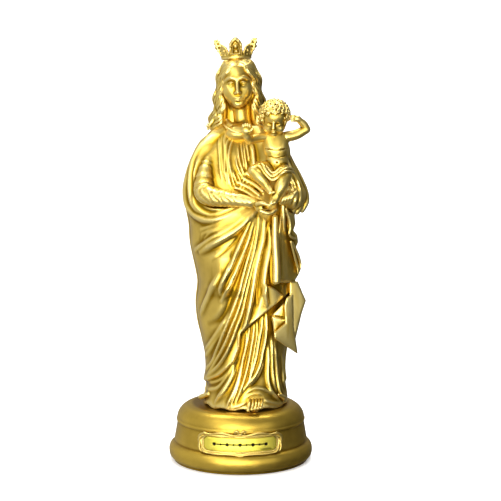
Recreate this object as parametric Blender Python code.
"""Gilded statue of a crowned mother holding her child, cast in parts that are pinned together.

Frame: the origin is under the centre of the plinth, +Z is up and the statue looks along -Y, so +X is
its left-hand side. Sizes are in millimetres, and MM turns them into Blender's metres.
"""

import math

import bmesh
import bpy
from mathutils import Matrix, Vector

MM = 0.001
GAP = 0.3  # clearance wherever two castings, or a pin and its hole, meet
# how finely each casting is fused, and the share of its faces that is kept
FUSE = {
    "figure": (1.3, 0.022),
    "head": (0.9, 0.05),
    "hand": (0.55, 0.065),
    "child_body": (0.7, 0.027),
    "child_head": (0.7, 0.055),
    "child_arm": (0.5, 0.035),
}

# Plinth
PLINTH_X, PLINTH_Y = 51.75, 44.0  # half width and half depth at the bottom roll
DEPTH_SHARE = 0.72  # the plinth steps in less at front and back than at its sides
FELT_THICK = 1.5
SEAT_Z = 41.0  # flat top of the mound, which carries the figure
BAND_LOW, BAND_HIGH = 14.4, 27.2  # upright band that carries the name plate
# (height, inset from the bottom roll's edge), from the underside to the flat seat
PLINTH_PROFILE = [
    (FELT_THICK + GAP, 2.6),
    (3.8, 0.8),
    (8.0, 0.0),
    (11.2, 1.1),
    (12.8, 2.9),
    (13.6, 4.3),
    (BAND_LOW, 3.8),
    (BAND_HIGH, 6.1),
    (28.2, 6.6),
    (29.2, 5.9),
    (30.6, 6.2),
    (33.5, 7.4),
    (37.2, 9.4),
    (39.8, 12.0),
    (SEAT_Z, 15.2),
]

# Name plate and its moulded surround, both wrapped round the plinth's band
LABEL_WIDE, LABEL_HIGH, LABEL_THICK = 50.0, 9.0, 0.6
LABEL_MID_Z = 21.2
SURROUND_WIDE, SURROUND_HIGH = 59.0, 11.4
SURROUND_EDGE, SURROUND_THICK = 1.0, 1.6  # how far its outer and inner rims stand proud
CREST_HIGH, CREST_SPREAD = 0.6, 0.2  # the long sides swell to a scroll in the middle
LABEL_CORNER, SURROUND_CORNER = 1.8, 3.0
FELT_INSET = 0.8

# Gown and mantle: (height, left, right, front, back) reach from the axis at each level
GOWN_ROWS = [
    (37, 30.5, 37.0, 32.0, 29.5),
    (46, 28.0, 36.5, 30.5, 29.0),
    (55, 27.0, 34.5, 28.5, 28.5),
    (65, 25.2, 33.2, 27.0, 28.0),
    (77, 25.7, 34.2, 26.5, 27.5),
    (91, 27.6, 36.6, 26.5, 27.5),
    (103, 30.7, 39.0, 27.0, 27.5),
    (113, 32.2, 40.0, 27.5, 27.5),
    (129, 29.8, 39.9, 27.0, 27.0),
    (142, 32.4, 40.3, 26.0, 26.5),
    (155, 36.1, 39.8, 25.0, 26.0),
    (170, 36.2, 38.7, 24.0, 25.5),
    (183, 39.2, 43.0, 23.5, 25.0),
    (195, 40.9, 42.5, 22.5, 24.5),
    (207, 38.4, 40.0, 21.0, 23.5),
    (216, 35.2, 36.5, 19.0, 22.5),
    (224, 31.0, 32.1, 16.0, 21.0),
    (232, 26.6, 27.3, 12.5, 18.5),
    (240, 19.3, 20.0, 9.5, 15.0),
    (245, 11.5, 12.7, 7.5, 12.5),
]
GOWN_POWER = 2.15  # 2 is an ellipse, and more is squarer
PLEATS, PLEAT_DEEP = 13, 0.05  # folds round the hem, as a share of the radius
PLEAT_TOP_Z, PLEAT_FADE = 105.0, 50.0  # they start here and reach full depth this far down
HEM_Z = SEAT_Z + GAP
HEM_CUT = (0, 0, -20), (0, 0, HEM_Z), 120.0  # start, end and radius of what is cut away below it

# Mother's arms, as (x, y, z) of shoulder, elbow and wrist
RIGHT_ARM = [(-22.7, -4, 222.5), (-24.2, -18, 193.5), (8.2, -32.5, 188)]
RIGHT_ARM_RADII = [7.5, 8.0, 3.8]
LEFT_ARM = [(26.3, -3, 222.5), (37.2, -9, 194.3), (30.6, -27, 194.2)]
LEFT_ARM_RADII = [8.5, 9.5, 7.0]
RIGHT_PALM = (17.0, -35.5, 183.4)
LEFT_PALM = (33.5, -33.0, 190.3)

# The mantle: its thick edge from the right shoulder, round under the forearm, up to the child's seat
MANTLE_EDGE = [
    (-16.3, -9, 236), (-26, -10, 222.5), (-34.9, -11, 204), (-36.9, -12, 186.5), (-32, -17, 172.7),
    (-19.4, -22, 168), (-3.7, -24, 171.7), (12, -25, 179.6), (23.7, -24, 187.4),
]
MANTLE_EDGE_RADIUS = 3.2
# its end that falls from the left arm: (x, y, z) and the radius there
MANTLE_FALL = [(36.5, -13, 155), (38.6, -13, 127), (40.6, -13, 109), (39.3, -13, 79)]
MANTLE_FALL_RADII = [4.5, 5.0, 5.8, 2.4]
KNEE, KNEE_RADII, KNEE_LEAN = (-10.8, -15.5, 114.0), (14.8, 13.5, 31.0), 0.12
FOOT, FOOT_RADII = [(10, -20, 43.5), (9.7, -32.0, 42.5)], [5.0, 3.6]
# the mantle bunched on the left shoulder, against the child's back
SHOULDER_BUNCH, BUNCH_RADII = (25.5, -11.0, 220.6), (10.0, 8.5, 13.0)

# Mother's head
HEAD_TILT = math.radians(6)
FACE, FACE_RADII = (-1.7, -6.0, 264.4), (10.6, 12.6, 14.2)
HAIR, HAIR_RADII = (-1.8, 0.5, 265.8), (15.4, 13.0, 18.4)
NECK, NECK_RADII = [(1.1, -1.0, 231.0), (-0.3, -2.0, 254.3)], [6.0, 6.5]
# Hair: (height, left, right, front, back) reach from the axis, flaring down to the shoulders
HAIR_ROWS = [
    (232, 14.5, 14.7, -2.0, 20.0),
    (239, 20.7, 19.0, 3.0, 19.5),
    (246, 21.2, 20.0, 5.0, 17.5),
    (252.5, 19.2, 19.0, 5.5, 16.0),
    (262, 18.0, 16.6, 6.0, 15.0),
    (270.5, 17.4, 14.4, 7.5, 14.5),
    (278.2, 15.8, 11.5, 9.0, 12.5),
    (284, 12.3, 7.7, 8.5, 8.5),
]
CROWN_SEAT = (-3.2, -1.5, 283.2)
SEAT_CUT_HIGH, SEAT_CUT_RADIUS = 30.0, 20.0  # clears the hair away above the crown's seat
CROWN_RADIUS, CROWN_WALL, CROWN_FLARE = 10.7, 1.6, 0.42
CROWN_FLOOR, CROWN_WAIST, CROWN_BAND = 2.6, 3.4, 5.2  # heights above the seat
CROWN_EYE = 0.35  # radius of the small face that closes the middle of the floor
# Leaves of the crown: (half width in degrees, height at the tip, drop to its shoulders)
LARGE_LEAF, SMALL_LEAF = (19.0, 15.1, 5.4), (13.0, 10.0, 2.4)
LEAF_POWER = 1.4

# Hands
FINGERS = 4
RIGHT_KNUCKLE, RIGHT_SPREAD = (3.0, -1.2, -1.6), (0.6, 1.1, 0.5)
LEFT_KNUCKLE, LEFT_SPREAD = (-3.6, -0.6, 0.6), (2.2, 0.0, 0.0)
RIGHT_MIDDLE, RIGHT_TIP = (3.6, 0.0, -0.4), (5.6, 0.6, 2.0)  # steps from each knuckle
LEFT_MIDDLE, LEFT_TIP = (-0.6, -3.0, 2.6), (-0.8, -2.6, 6.0)
FINGER_RADII = [1.3, 1.15, 0.95]
THUMB, THUMB_RADII = [(-1.0, -0.5, 2.2), (4.0, -1.0, 5.4)], [1.4, 1.0]  # from the middle of the palm
PALM_RADII = (4.6, 3.0, 3.4)
RIGHT_PLUG, RIGHT_PLUG_RADII = 0.55, [2.6, 2.9, 3.2]  # length as a share of wrist to palm
LEFT_PLUG, LEFT_PLUG_RADII = 0.5, [3.0, 3.4]

# Child
PELVIS, PELVIS_RADII = (26.6, -21.5, 207.4), (8.0, 6.6, 7.0)
BELLY, BELLY_RADII = (25.6, -22.4, 216.2), (6.9, 6.0, 7.5)
CHEST, CHEST_RADII = (24.4, -21.0, 226.8), (8.0, 5.4, 7.8)
CHILD_NECK = (24.2, -21.5, 232.6)
CHILD_HEAD, CURLS_RADII = (23.7, -23.0, 245.8), (10.3, 10.2, 10.9)
CHILD_FACE, CHILD_FACE_RADII = (23.7, -25.0, 241.4), (7.6, 7.8, 8.8)
CHILD_RIGHT_ARM = [(16.3, -22.5, 231.6), (6.7, -27.5, 228.7), (4.5, -32.0, 234.5)]
CHILD_RIGHT_HAND = (4.9, -33.5, 238.8)
CHILD_LEFT_ARM = [(32.3, -21.0, 232.1), (46.0, -21.0, 236.5), (41.0, -24.0, 242.3)]
CHILD_LEFT_HAND = (38.0, -25.5, 244.5)
# hip, knee, ankle and toes
CHILD_RIGHT_LEG = [(21.7, -23.0, 208), (10.1, -32.0, 208.8), (16.9, -34.0, 198), (17.4, -37.5, 194.2)]
CHILD_LEFT_LEG = [(29.5, -23.0, 207.4), (30.6, -33.0, 205.4), (22.3, -35.0, 191.3), (20.4, -38.5, 187.9)]
CHILD_LEG_RADII = [5.8, 4.6, 2.8, 2.2]
SHOULDER_RADII = [3.3, 4.2, 3.3]
CHILD_ARM_RADII, CHILD_HAND_RADII, CHILD_HAND_RISE = [3.5, 3.3, 2.3, 2.3], (2.8, 1.7, 3.3), 1.2
CHILD_ARM_STARTS = 0.2  # as a share of the upper arm
CHILD_NECK_RADII = [3.4, 4.0]

# Fixings
STUD_RADIUS, STUD_TOP_Z = 2.5, 96.0
NUT_POCKET_RADIUS, NUT_POCKET_TOP_Z = 9.0, 14.0
NUT_ACROSS, NUT_THICK, WASHER_RADIUS, WASHER_THICK = 8.0, 4.0, 7.5, 1.0
STUD_STANDS_OUT = 1.5  # below its nut
# pins between castings, as start, end and radius
NECK_DOWEL = (1, -1, 209), (0.6, -1.3, 239), 2.0
CHILD_SEAT_PIN = (26.5, -20, 208), (28.5, -11, 194.3), 1.5
CHILD_BACK_PIN = (24.6, -21, 225.4), (26.5, -6, 222.5), 1.5
CHILD_NECK_PIN = (24.3, -21.4, 227.8), (23.9, -22.2, 242.7), 1.3
CROWN_PIN_DEEP, CROWN_PIN_RADIUS = 9.0, 1.5
WRIST_PIN_IN_HAND, WRIST_PIN_RADIUS = 3.0, 1.0
WRIST_PIN_IN_SLEEVE = {"right": 12.5, "left": 10.5}
ARM_PIN_REACH, ARM_PIN_RADIUS = (-0.35, 0.65), 0.8  # as shares of the upper arm


# ---------------------------------------------------------------- basics


def clear_scene():
    for obj in list(bpy.data.objects):
        bpy.data.objects.remove(obj)


def make_material(name, colour, roughness, metallic):
    made = bpy.data.materials.new(name)
    made.use_nodes = True
    shader = made.node_tree.nodes["Principled BSDF"]
    shader.inputs["Base Color"].default_value = (*colour, 1.0)
    shader.inputs["Roughness"].default_value = roughness
    shader.inputs["Metallic"].default_value = metallic
    made.diffuse_color = (*colour, 1.0)
    return made


def add_object(name, bm, material, smooth_angle=35.0):
    """Turns a bmesh in millimetres into a scene object in metres."""
    bmesh.ops.recalc_face_normals(bm, faces=bm.faces)
    bmesh.ops.scale(bm, vec=(MM, MM, MM), verts=bm.verts)
    mesh = bpy.data.meshes.new(name)
    bm.to_mesh(mesh)
    bm.free()
    mesh.shade_smooth()
    mesh.set_sharp_from_angle(angle=math.radians(smooth_angle))
    obj = bpy.data.objects.new(name, mesh)
    bpy.context.scene.collection.objects.link(obj)
    if material is not None:
        mesh.materials.append(material)
    return obj


def hide_as_cutter(obj):
    obj.hide_render = True
    obj.display_type = "WIRE"


def bridge(bm, low, high):
    """Quads between two closed rings of the same length."""
    count = len(low)
    for i in range(count):
        j = (i + 1) % count
        bm.faces.new((low[i], low[j], high[j], high[i]))


def loft(bm, rings):
    """A closed body through rings of points, bottom to top."""
    made = [[bm.verts.new(point) for point in ring] for ring in rings]
    for low, high in zip(made, made[1:]):
        bridge(bm, low, high)
    bm.faces.new(reversed(made[0]))
    bm.faces.new(made[-1])


def ball(bm, centre, radii, tilt=0.0):
    """An ellipsoid with half axes radii, leaning by tilt towards -X."""
    matrix = Matrix.Translation(centre) @ Matrix.Rotation(-tilt, 4, "Y") @ Matrix.Diagonal((*radii, 1.0))
    bmesh.ops.create_uvsphere(bm, u_segments=20, v_segments=12, radius=1.0, matrix=matrix)


def limb(bm, points, radii):
    """Tapered round links through points, with a ball at each."""
    points = [Vector(point) for point in points]
    for point, radius in zip(points, radii):
        ball(bm, point, (radius,) * 3)
    for a, b, ra, rb in zip(points, points[1:], radii, radii[1:]):
        turn = (b - a).to_track_quat("Z", "Y").to_matrix().to_4x4()
        place = Matrix.Translation((a + b) / 2) @ turn
        bmesh.ops.create_cone(
            bm, cap_ends=True, segments=20, radius1=ra, radius2=rb, depth=(b - a).length, matrix=place
        )


def fuse(obj, voxel, keep):
    """Melts the overlapping closed shapes in obj into one body, then thins out its faces."""
    remesh = obj.modifiers.new("fuse", "REMESH")
    remesh.mode = "VOXEL"
    remesh.voxel_size = voxel * MM
    remesh.use_smooth_shade = True
    decimate = obj.modifiers.new("thin_out", "DECIMATE")
    decimate.ratio = keep


def subtract(obj, cutter):
    cut = obj.modifiers.new("cut_" + cutter.name, "BOOLEAN")
    cut.operation = "DIFFERENCE"
    cut.object = cutter
    cut.solver = "EXACT"


def clear_of(obj, neighbour):
    """Hollows obj so that neighbour fits into it with GAP all round."""
    cutter = neighbour.copy()
    cutter.data = neighbour.data.copy()
    cutter.name = obj.name + "_seat_for_" + neighbour.name
    bpy.context.scene.collection.objects.link(cutter)
    grow = cutter.modifiers.new("gap", "DISPLACE")
    grow.strength = GAP * 1.3 * MM
    grow.mid_level = 0.0
    hide_as_cutter(cutter)
    subtract(obj, cutter)


def rod(name, start, end, radius, material=None, segments=16):
    """A round bar from start to end, with slightly broken edges."""
    start, end = Vector(start), Vector(end)
    turn = (end - start).to_track_quat("Z", "Y").to_matrix().to_4x4()
    bm = bmesh.new()
    bmesh.ops.create_cone(
        bm, cap_ends=True, segments=segments, radius1=radius, radius2=radius,
        depth=(end - start).length, matrix=Matrix.Translation((start + end) / 2) @ turn,
    )
    return add_object(name, bm, material)


def drill(obj, start, end, radius, label, segments=16):
    hole = rod(obj.name + "_" + label, start, end, radius, segments=segments)
    hide_as_cutter(hole)
    subtract(obj, hole)


def pin_together(name, start, end, radius, pieces, material):
    """A steel pin, with a hole for it in each of the pieces."""
    start, end = Vector(start), Vector(end)
    along = (end - start).normalized() * GAP
    rod(name, start, end, radius, material)
    for piece in pieces:
        drill(piece, start - along, end + along, radius + GAP, "hole_for_" + name)


# ---------------------------------------------------------------- plinth and label


def plinth_half(z):
    """Half width and half depth of the plinth at height z."""
    for (z0, inset0), (z1, inset1) in zip(PLINTH_PROFILE, PLINTH_PROFILE[1:]):
        if z <= z1:
            share = (z - z0) / (z1 - z0)
            break
    else:
        share = 1.0
    inset = inset0 + share * (inset1 - inset0)
    return PLINTH_X - inset, PLINTH_Y - inset * DEPTH_SHARE


def oval(rx, ry, z, segments=48):
    turns = (math.tau * i / segments for i in range(segments))
    return [(rx * math.cos(turn), ry * math.sin(turn), z) for turn in turns]


def on_band(x, z, proud):
    """The point of the plinth's front at sideways position x and height z, standing proud of it."""
    rx, ry = plinth_half(z)
    rx, ry = rx + proud, ry + proud
    return (x, -ry * math.sqrt(1.0 - (x / rx) ** 2), z)


def build_plinth(gilt):
    bm = bmesh.new()
    loft(bm, [oval(*plinth_half(z), z) for z, _ in PLINTH_PROFILE])
    plinth = add_object("plinth", bm, gilt)
    drill(plinth, (0, 0, -5), (0, 0, SEAT_Z + 5), STUD_RADIUS + GAP, "stud_hole")
    drill(plinth, (0, 0, -5), (0, 0, NUT_POCKET_TOP_Z), NUT_POCKET_RADIUS, "nut_pocket", 24)
    return plinth


def build_felt(felt):
    rx, ry = (half - FELT_INSET for half in plinth_half(PLINTH_PROFILE[0][0]))
    bm = bmesh.new()
    loft(bm, [oval(rx, ry, z) for z in (0.0, FELT_THICK)])
    add_object("felt_base", bm, felt)


def tab_outline(wide, high, corner, per_side=8):
    """An octagon with cut corners, centred on the label: points (x, z), anticlockwise."""
    half_w, half_h = wide / 2, high / 2
    corners = [
        (-half_w + corner, -half_h), (half_w - corner, -half_h), (half_w, -half_h + corner),
        (half_w, half_h - corner), (half_w - corner, half_h), (-half_w + corner, half_h),
        (-half_w, half_h - corner), (-half_w, -half_h + corner),
    ]
    points = []
    for (x0, z0), (x1, z1) in zip(corners, corners[1:] + corners[:1]):
        steps = per_side if abs(x1 - x0) > wide / 2 else 1
        points += [(x0 + (x1 - x0) * i / steps, z0 + (z1 - z0) * i / steps) for i in range(steps)]
    return [(x, z + LABEL_MID_Z) for x, z in points]


def build_label(brass):
    """The name plate: cross strips from one end to the other, bent round the band."""
    strips = 12
    bm = bmesh.new()
    rings = []
    for i in range(strips + 1):
        x = LABEL_WIDE * (i / strips - 0.5)
        short = max(0.0, LABEL_CORNER - (LABEL_WIDE / 2 - abs(x)))
        half = LABEL_HIGH / 2 - short
        section = ((-half, GAP), (-half, GAP + LABEL_THICK), (half, GAP + LABEL_THICK), (half, GAP))
        rings.append([on_band(x, LABEL_MID_Z + up, proud) for up, proud in section])
    loft(bm, rings)
    add_object("label_plate", bm, brass)


def build_surround(gilt):
    """The moulded surround: an octagonal frame, bent round the band, with the label inside it."""
    inner = tab_outline(LABEL_WIDE + 2 * GAP, LABEL_HIGH + 2 * GAP, LABEL_CORNER)
    outer = []
    for x, z in tab_outline(SURROUND_WIDE, SURROUND_HIGH, SURROUND_CORNER):
        swell = 0.75 + math.exp(-((2 * x / SURROUND_WIDE / CREST_SPREAD) ** 2))
        outer.append((x, z + math.copysign(CREST_HIGH * swell, z - LABEL_MID_Z)))
    section = ((outer, GAP), (outer, SURROUND_EDGE), (inner, SURROUND_THICK), (inner, GAP))
    bm = bmesh.new()
    loops = [[bm.verts.new(on_band(x, z, proud)) for x, z in outline] for outline, proud in section]
    for low, high in zip(loops, loops[1:] + loops[:1]):
        bridge(bm, low, high)
    add_object("label_surround", bm, gilt)


# ---------------------------------------------------------------- mother


def hair_ring(z, left, right, front, back, segments=40):
    """One level of the hair: an oval whose middle lies between its front and back reach."""
    mid, half = (back - front) / 2, (back + front) / 2
    turns = [math.tau * i / segments for i in range(segments)]
    return [
        ((right if math.cos(turn) > 0 else left) * math.cos(turn), mid + half * math.sin(turn), z)
        for turn in turns
    ]


def gown_ring(z, left, right, front, back, segments=72):
    """One level of the gown: a squarish oval with its own reach on each side, pleated towards the hem."""
    fade = max(0.0, min(1.0, (PLEAT_TOP_Z - z) / PLEAT_FADE))
    ring = []
    for i in range(segments):
        turn = math.tau * i / segments
        c, s = math.cos(turn), math.sin(turn)
        x = math.copysign(abs(c) ** (2 / GOWN_POWER), c)
        y = math.copysign(abs(s) ** (2 / GOWN_POWER), s)
        swell = 1.0 + PLEAT_DEEP * fade * (math.cos(PLEATS * turn) - 1.0) / 2
        ring.append((x * (right if x > 0 else left) * swell, y * (back if y > 0 else front) * swell, z))
    return ring


def build_figure(gilt):
    """Gown, mantle, shoulders and sleeves: the largest casting."""
    bm = bmesh.new()
    loft(bm, [gown_ring(*row) for row in GOWN_ROWS])
    limb(bm, RIGHT_ARM, RIGHT_ARM_RADII)
    limb(bm, LEFT_ARM, LEFT_ARM_RADII)
    limb(bm, MANTLE_EDGE, [MANTLE_EDGE_RADIUS] * len(MANTLE_EDGE))
    limb(bm, MANTLE_FALL, MANTLE_FALL_RADII)
    ball(bm, KNEE, KNEE_RADII, KNEE_LEAN)
    ball(bm, SHOULDER_BUNCH, BUNCH_RADII)
    limb(bm, FOOT, FOOT_RADII)
    figure = add_object("figure", bm, gilt)
    fuse(figure, *FUSE["figure"])
    drill(figure, *HEM_CUT, "hem_plane")
    return figure


def build_head(gilt):
    """Head, hair and neck, with a plug that stands in the collar."""
    bm = bmesh.new()
    ball(bm, FACE, FACE_RADII, HEAD_TILT)
    ball(bm, HAIR, HAIR_RADII, HEAD_TILT)
    loft(bm, [hair_ring(*row) for row in HAIR_ROWS])
    limb(bm, NECK, NECK_RADII)
    head = add_object("head", bm, gilt)
    fuse(head, *FUSE["head"])
    axis = crown_axis()
    seat = Vector(CROWN_SEAT)
    drill(head, seat - axis * GAP, seat + axis * SEAT_CUT_HIGH, SEAT_CUT_RADIUS, "crown_seat", 24)
    return head


def crown_axis():
    return Vector((-math.sin(HEAD_TILT), 0.0, math.cos(HEAD_TILT)))


def crown_edge(turn):
    """Height of the crown's top edge: large leaves at the four quarters and small ones between."""
    degrees = math.degrees(turn) % 90.0
    from_large = min(degrees, 90.0 - degrees)
    for away, (half_width, tip, drop) in ((from_large, LARGE_LEAF), (45.0 - from_large, SMALL_LEAF)):
        if away < half_width:
            return tip - drop * (away / half_width) ** LEAF_POWER
    return CROWN_BAND


def crown_section(top):
    """(radius, height) round the crown's section, where its edge is at height top."""
    outside = CROWN_RADIUS + CROWN_FLARE * (top - CROWN_WAIST)
    inside = CROWN_RADIUS - CROWN_WALL
    return [
        (CROWN_EYE, 0.0), (CROWN_RADIUS, 0.0), (CROWN_RADIUS, CROWN_WAIST), (outside, top),
        (outside - CROWN_WALL, top), (inside, CROWN_WAIST), (inside, CROWN_FLOOR), (CROWN_EYE, CROWN_FLOOR),
    ]


def build_crown(gilt):
    """An open, flared band with leaves, on a thin floor that sits on the hair."""
    segments = 64
    place = Matrix.Translation(CROWN_SEAT) @ Matrix.Rotation(-HEAD_TILT, 4, "Y")
    spokes = []
    for i in range(segments):
        turn = math.tau * i / segments
        section = crown_section(crown_edge(turn))
        spokes.append([place @ Vector((r * math.cos(turn), r * math.sin(turn), z)) for r, z in section])
    bm = bmesh.new()
    loft(bm, list(zip(*spokes)))
    return add_object("crown", bm, gilt)


def fingers(bm, palm, knuckle, spread, middle, tip):
    """Four fingers side by side; middle and tip are steps from each knuckle."""
    for i in range(FINGERS):
        root = Vector(palm) + Vector(knuckle) + Vector(spread) * i
        limb(bm, [root, root + Vector(middle), root + Vector(tip)], FINGER_RADII)


def build_right_hand(gilt):
    """The open hand under the child's foot, with a plug that stands in the sleeve."""
    wrist, palm = Vector(RIGHT_ARM[2]), Vector(RIGHT_PALM)
    bm = bmesh.new()
    limb(bm, [wrist + (wrist - palm) * RIGHT_PLUG, wrist, palm], RIGHT_PLUG_RADII)
    ball(bm, palm, PALM_RADII)
    fingers(bm, palm, RIGHT_KNUCKLE, RIGHT_SPREAD, RIGHT_MIDDLE, RIGHT_TIP)
    limb(bm, [palm + Vector(step) for step in THUMB], THUMB_RADII)
    hand = add_object("right_hand", bm, gilt)
    fuse(hand, *FUSE["hand"])
    return hand


def build_left_hand(gilt):
    """The hand that holds the child's seat, below the left sleeve."""
    wrist, palm = Vector(LEFT_ARM[2]), Vector(LEFT_PALM)
    bm = bmesh.new()
    limb(bm, [wrist + (wrist - palm) * LEFT_PLUG, palm], LEFT_PLUG_RADII)
    fingers(bm, palm, LEFT_KNUCKLE, LEFT_SPREAD, LEFT_MIDDLE, LEFT_TIP)
    hand = add_object("left_hand", bm, gilt)
    fuse(hand, *FUSE["hand"])
    return hand


# ---------------------------------------------------------------- child


def build_child_body(gilt):
    """Torso, legs and loincloth in one casting."""
    bm = bmesh.new()
    ball(bm, PELVIS, PELVIS_RADII)
    ball(bm, BELLY, BELLY_RADII)
    ball(bm, CHEST, CHEST_RADII)
    limb(bm, [CHILD_RIGHT_ARM[0], CHEST, CHILD_LEFT_ARM[0]], SHOULDER_RADII)
    for leg in (CHILD_RIGHT_LEG, CHILD_LEFT_LEG):
        limb(bm, leg, CHILD_LEG_RADII)
    body = add_object("child_body", bm, gilt)
    fuse(body, *FUSE["child_body"])
    return body


def build_child_head(gilt):
    """Head with its cap of curls, and a short neck that stands in the shoulders."""
    bm = bmesh.new()
    ball(bm, CHILD_HEAD, CURLS_RADII)
    ball(bm, CHILD_FACE, CHILD_FACE_RADII)
    limb(bm, [CHILD_NECK, CHILD_HEAD], CHILD_NECK_RADII)
    head = add_object("child_head", bm, gilt)
    fuse(head, *FUSE["child_head"])
    return head


def build_child_arm(name, joints, hand, gilt):
    """A chubby raised arm with its hand, cut off square at the shoulder."""
    root = Vector(joints[0]).lerp(Vector(joints[1]), CHILD_ARM_STARTS)
    bm = bmesh.new()
    limb(bm, [root, joints[1], joints[2], hand], CHILD_ARM_RADII)
    ball(bm, Vector(hand) + Vector((0, 0, CHILD_HAND_RISE)), CHILD_HAND_RADII)
    arm = add_object(name, bm, gilt)
    fuse(arm, *FUSE["child_arm"])
    return arm


# ---------------------------------------------------------------- fixings


def build_stud_nut_washer(steel):
    washer_low = NUT_POCKET_TOP_Z - GAP - WASHER_THICK
    nut_low = washer_low - GAP - NUT_THICK
    rod("anchor_stud", (0, 0, nut_low - STUD_STANDS_OUT), (0, 0, STUD_TOP_Z), STUD_RADIUS, steel, 20)
    washer_top = washer_low + WASHER_THICK
    washer = rod("anchor_washer", (0, 0, washer_low), (0, 0, washer_top), WASHER_RADIUS, steel, 24)
    nut = rod("anchor_nut", (0, 0, nut_low), (0, 0, nut_low + NUT_THICK), NUT_ACROSS / math.sqrt(3), steel, 6)
    for piece in (washer, nut):
        drill(piece, (0, 0, 0), (0, 0, SEAT_Z), STUD_RADIUS + GAP, "bore", 20)


def pin_castings(steel, figure, head, crown, hands, child, child_head, child_arms):
    """Every pin between two castings, at the joint it holds."""
    axis, seat = crown_axis(), Vector(CROWN_SEAT)
    start, end = seat - axis * CROWN_PIN_DEEP, seat + axis * (CROWN_FLOOR - 1.0)
    pin_together("crown_pin", start, end, CROWN_PIN_RADIUS, (head, crown), steel)
    pin_together("neck_dowel", *NECK_DOWEL, (figure, head), steel)
    pin_together("child_seat_pin", *CHILD_SEAT_PIN, (figure, child), steel)
    pin_together("child_back_pin", *CHILD_BACK_PIN, (figure, child), steel)
    pin_together("child_neck_pin", *CHILD_NECK_PIN, (child, child_head), steel)
    for side, wrist, palm in (("right", RIGHT_ARM[2], RIGHT_PALM), ("left", LEFT_ARM[2], LEFT_PALM)):
        wrist, along = Vector(wrist), (Vector(palm) - Vector(wrist)).normalized()
        start, end = wrist - along * WRIST_PIN_IN_SLEEVE[side], wrist + along * WRIST_PIN_IN_HAND
        pin_together(side + "_hand_pin", start, end, WRIST_PIN_RADIUS, (figure, hands[side]), steel)
    for side, joints in (("right", CHILD_RIGHT_ARM), ("left", CHILD_LEFT_ARM)):
        shoulder, elbow = Vector(joints[0]), Vector(joints[1])
        start, end = (shoulder.lerp(elbow, share) for share in ARM_PIN_REACH)
        pieces = (child, child_arms[side])
        pin_together("child_" + side + "_arm_pin", start, end, ARM_PIN_RADIUS, pieces, steel)


def main():
    clear_scene()
    gilt = make_material("gilt_resin", (0.78, 0.58, 0.17), 0.32, 0.9)
    brass = make_material("label_brass", (0.90, 0.78, 0.16), 0.3, 0.6)
    felt = make_material("felt", (0.02, 0.05, 0.03), 0.95, 0.0)
    steel = make_material("steel", (0.55, 0.55, 0.57), 0.35, 1.0)

    build_plinth(gilt)
    build_felt(felt)
    build_label(brass)
    build_surround(gilt)

    figure = build_figure(gilt)
    head = build_head(gilt)
    crown = build_crown(gilt)
    hands = {"right": build_right_hand(gilt), "left": build_left_hand(gilt)}
    child = build_child_body(gilt)
    child_head = build_child_head(gilt)
    arms = {
        "right": build_child_arm("child_right_arm", CHILD_RIGHT_ARM, CHILD_RIGHT_HAND, gilt),
        "left": build_child_arm("child_left_arm", CHILD_LEFT_ARM, CHILD_LEFT_HAND, gilt),
    }

    # Where two castings meet, the first one is hollowed to seat the second.
    for casting, neighbours in (
        (figure, (head, child, child_head, hands["right"], hands["left"], arms["right"], arms["left"])),
        (hands["right"], (child,)),
        (hands["left"], (child,)),
        (child, (child_head, arms["right"], arms["left"])),
        (child_head, (arms["left"], head)),
        (arms["right"], (head,)),
    ):
        for neighbour in neighbours:
            clear_of(casting, neighbour)

    drill(figure, (0, 0, 0), (0, 0, STUD_TOP_Z + 2), STUD_RADIUS + GAP, "stud_hole", 20)
    build_stud_nut_washer(steel)
    pin_castings(steel, figure, head, crown, hands, child, child_head, arms)


main()
